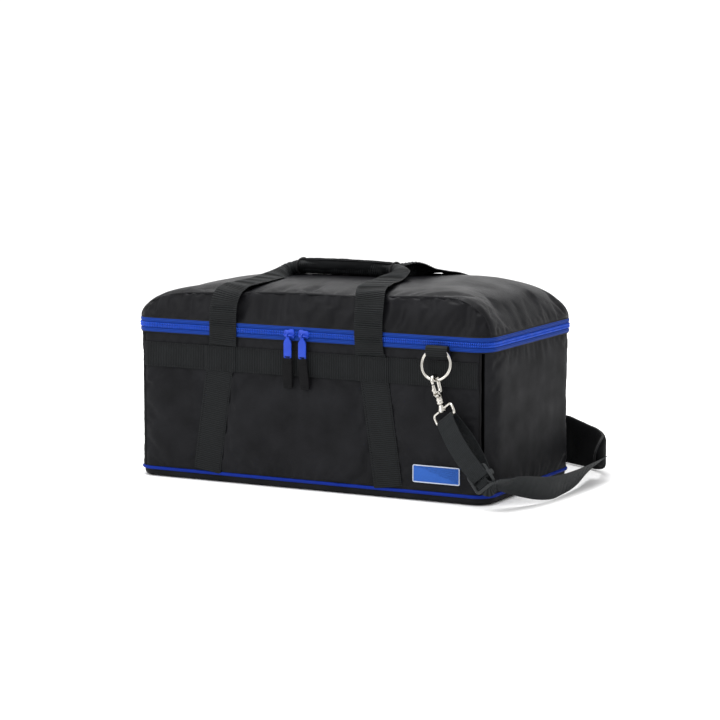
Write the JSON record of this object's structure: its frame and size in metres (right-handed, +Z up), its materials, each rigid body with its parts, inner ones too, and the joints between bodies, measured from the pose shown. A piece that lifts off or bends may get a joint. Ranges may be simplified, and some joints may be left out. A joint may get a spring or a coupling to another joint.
{
  "type": "padded equipment shoulder bag",
  "caption": "Padded box-shaped equipment bag with a zipped dome lid, webbing carry handles joined by a wrap grip, and a detachable padded shoulder strap on snap hooks.",
  "frame": {"origin": "centre of the bag's underside, on the surface it stands on", "axes": "+X to the right along the bag's length, +Y towards the back (the front faces -Y), +Z up"},
  "size_m": [0.7181, 0.497, 0.3578],
  "materials": {
    "shell_fabric": "woven nylon, soft sheen",
    "webbing": "ribbed nylon webbing",
    "zip_tape": "royal blue zipper tape",
    "zip_teeth": "royal blue nylon coil",
    "piping": "blue piping",
    "puller": "royal blue enamel",
    "nickel": "bright nickel plate",
    "glide": "grained acetal",
    "patch": "plain woven patch",
    "pad": "brushed pad cloth",
    "board": "stiffener board"
  },
  "bodies": {
    "bag_body": {"base_panel": "shell_fabric", "base_piping": "piping", "base_board": "board", "front_panel": "shell_fabric", "back_panel": "shell_fabric", "left_end_panel": "shell_fabric", "right_end_panel": "shell_fabric", "corner_welts": "shell_fabric", "front_band": "webbing", "rear_band": "webbing", "front_left_leg": "webbing", "front_right_leg": "webbing", "rear_left_leg": "webbing", "rear_right_leg": "webbing", "lower_zipper_tape": "zip_tape", "lower_zipper_teeth": "zip_teeth", "zipper_end_stops": "zip_teeth", "lower_hinge_strip": "shell_fabric", "front_ring_loop": "webbing", "rear_ring_loop": "webbing", "label_patch": "patch", "front_strap_loop": "webbing", "front_strap": "webbing", "shoulder_pad": "pad", "rear_strap": "webbing", "rear_strap_loop": "webbing", "front_hook_eye": "nickel", "rear_hook_eye": "nickel"},
    "lid": {"lid_top_panel": "shell_fabric", "lid_front_panel": "shell_fabric", "lid_back_panel": "shell_fabric", "lid_welts": "shell_fabric", "upper_zipper_tape": "zip_tape", "upper_zipper_teeth": "zip_teeth", "upper_hinge_strip": "shell_fabric"},
    "front_handle": {"front_handle_loop": "webbing"},
    "rear_handle": {"rear_handle_loop": "webbing", "handle_grip_pad": "shell_fabric", "handle_grip_flap": "shell_fabric"},
    "left_slider": {"left_slider": "puller"},
    "left_puller": {"left_puller": "puller", "left_pull_tab": "webbing"},
    "right_slider": {"right_slider": "puller"},
    "right_puller": {"right_puller": "puller", "right_pull_tab": "webbing"},
    "front_ring": {"front_ring": "nickel"},
    "rear_ring": {"rear_ring": "nickel"},
    "front_hook": {"front_hook_body": "nickel"},
    "rear_hook": {"rear_hook_body": "nickel"},
    "front_gate": {"front_hook_gate": "nickel"},
    "rear_gate": {"rear_hook_gate": "nickel"},
    "front_triglide": {"front_triglide": "glide"},
    "rear_triglide": {"rear_triglide": "glide"}
  },
  "joints": [
    {"name": "lid_hinge", "type": "hinge", "parent": "bag_body", "child": "lid", "pos_m": [0, 0.168, 0.252], "axis": [-1, 0, 0], "range_deg": [0, 90], "deforming": ["front_handle_loop", "rear_handle_loop"]},
    {"name": "front_handle_swing", "type": "hinge", "parent": "bag_body", "child": "front_handle", "pos_m": [0, -0.1705, 0.226], "axis": [1, 0, 0], "range_deg": [0, 162]},
    {"name": "rear_handle_swing", "type": "hinge", "parent": "bag_body", "child": "rear_handle", "pos_m": [0, 0.1705, 0.226], "axis": [-1, 0, 0], "range_deg": [0, 162]},
    {"name": "left_slider_slide", "type": "slide", "parent": "bag_body", "child": "left_slider", "axis": [-1, 0, 0], "range_m": [0, 0.24]},
    {"name": "left_puller_swing", "type": "hinge", "parent": "left_slider", "child": "left_puller", "pos_m": [-0.0285, -0.1745, 0.25], "axis": [-1, 0, 0], "range_deg": [0, 150]},
    {"name": "right_slider_slide", "type": "slide", "parent": "bag_body", "child": "right_slider", "axis": [1, 0, 0], "range_m": [0, 0.18]},
    {"name": "right_puller_swing", "type": "hinge", "parent": "right_slider", "child": "right_puller", "pos_m": [-0.002, -0.1745, 0.25], "axis": [-1, 0, 0], "range_deg": [0, 150]},
    {"name": "front_ring_swing", "type": "hinge", "parent": "bag_body", "child": "front_ring", "pos_m": [0.238, -0.1755, 0.2445], "axis": [1, 0, 0], "range_deg": [-2.5, 2.5]},
    {"name": "front_hook_swivel", "type": "hinge", "parent": "bag_body", "child": "front_hook", "pos_m": [0.251, -0.18401, 0.15], "axis": [-0.2706, 0, 0.9627], "range_deg": [-10, 10]},
    {"name": "front_gate_pivot", "type": "hinge", "parent": "front_hook", "child": "front_gate", "pos_m": [0.24341, -0.19426, 0.17699], "axis": [-0.9627, 0, -0.2706], "range_deg": [0, 18], "stiffness_Nm_per_rad": 0.05, "springref_deg": -5.73},
    {"name": "front_triglide_slide", "type": "slide", "parent": "bag_body", "child": "front_triglide", "axis": [-0.5922, 0.037, 0.805], "range_m": [0, 0.06]},
    {"name": "rear_ring_swing", "type": "hinge", "parent": "bag_body", "child": "rear_ring", "pos_m": [-0.238, 0.1755, 0.2445], "axis": [-1, 0, 0], "range_deg": [-2.5, 2.5]},
    {"name": "rear_hook_swivel", "type": "hinge", "parent": "bag_body", "child": "rear_hook", "pos_m": [-0.225, 0.18401, 0.15], "axis": [0.2706, 0, -0.9627], "range_deg": [-10, 10]},
    {"name": "rear_gate_pivot", "type": "hinge", "parent": "rear_hook", "child": "rear_gate", "pos_m": [-0.23259, 0.19426, 0.17699], "axis": [0.9627, 0, 0.2706], "range_deg": [0, 18], "stiffness_Nm_per_rad": 0.05, "springref_deg": -5.73},
    {"name": "rear_triglide_slide", "type": "slide", "parent": "bag_body", "child": "rear_triglide", "axis": [-0.5922, -0.037, 0.805], "range_m": [0, 0.06]}
  ],
  "couplings": [
    {"joint": "front_handle_swing", "follows": "lid_hinge", "ratio": 1.8},
    {"joint": "rear_handle_swing", "follows": "lid_hinge", "ratio": 1.8}
  ]
}
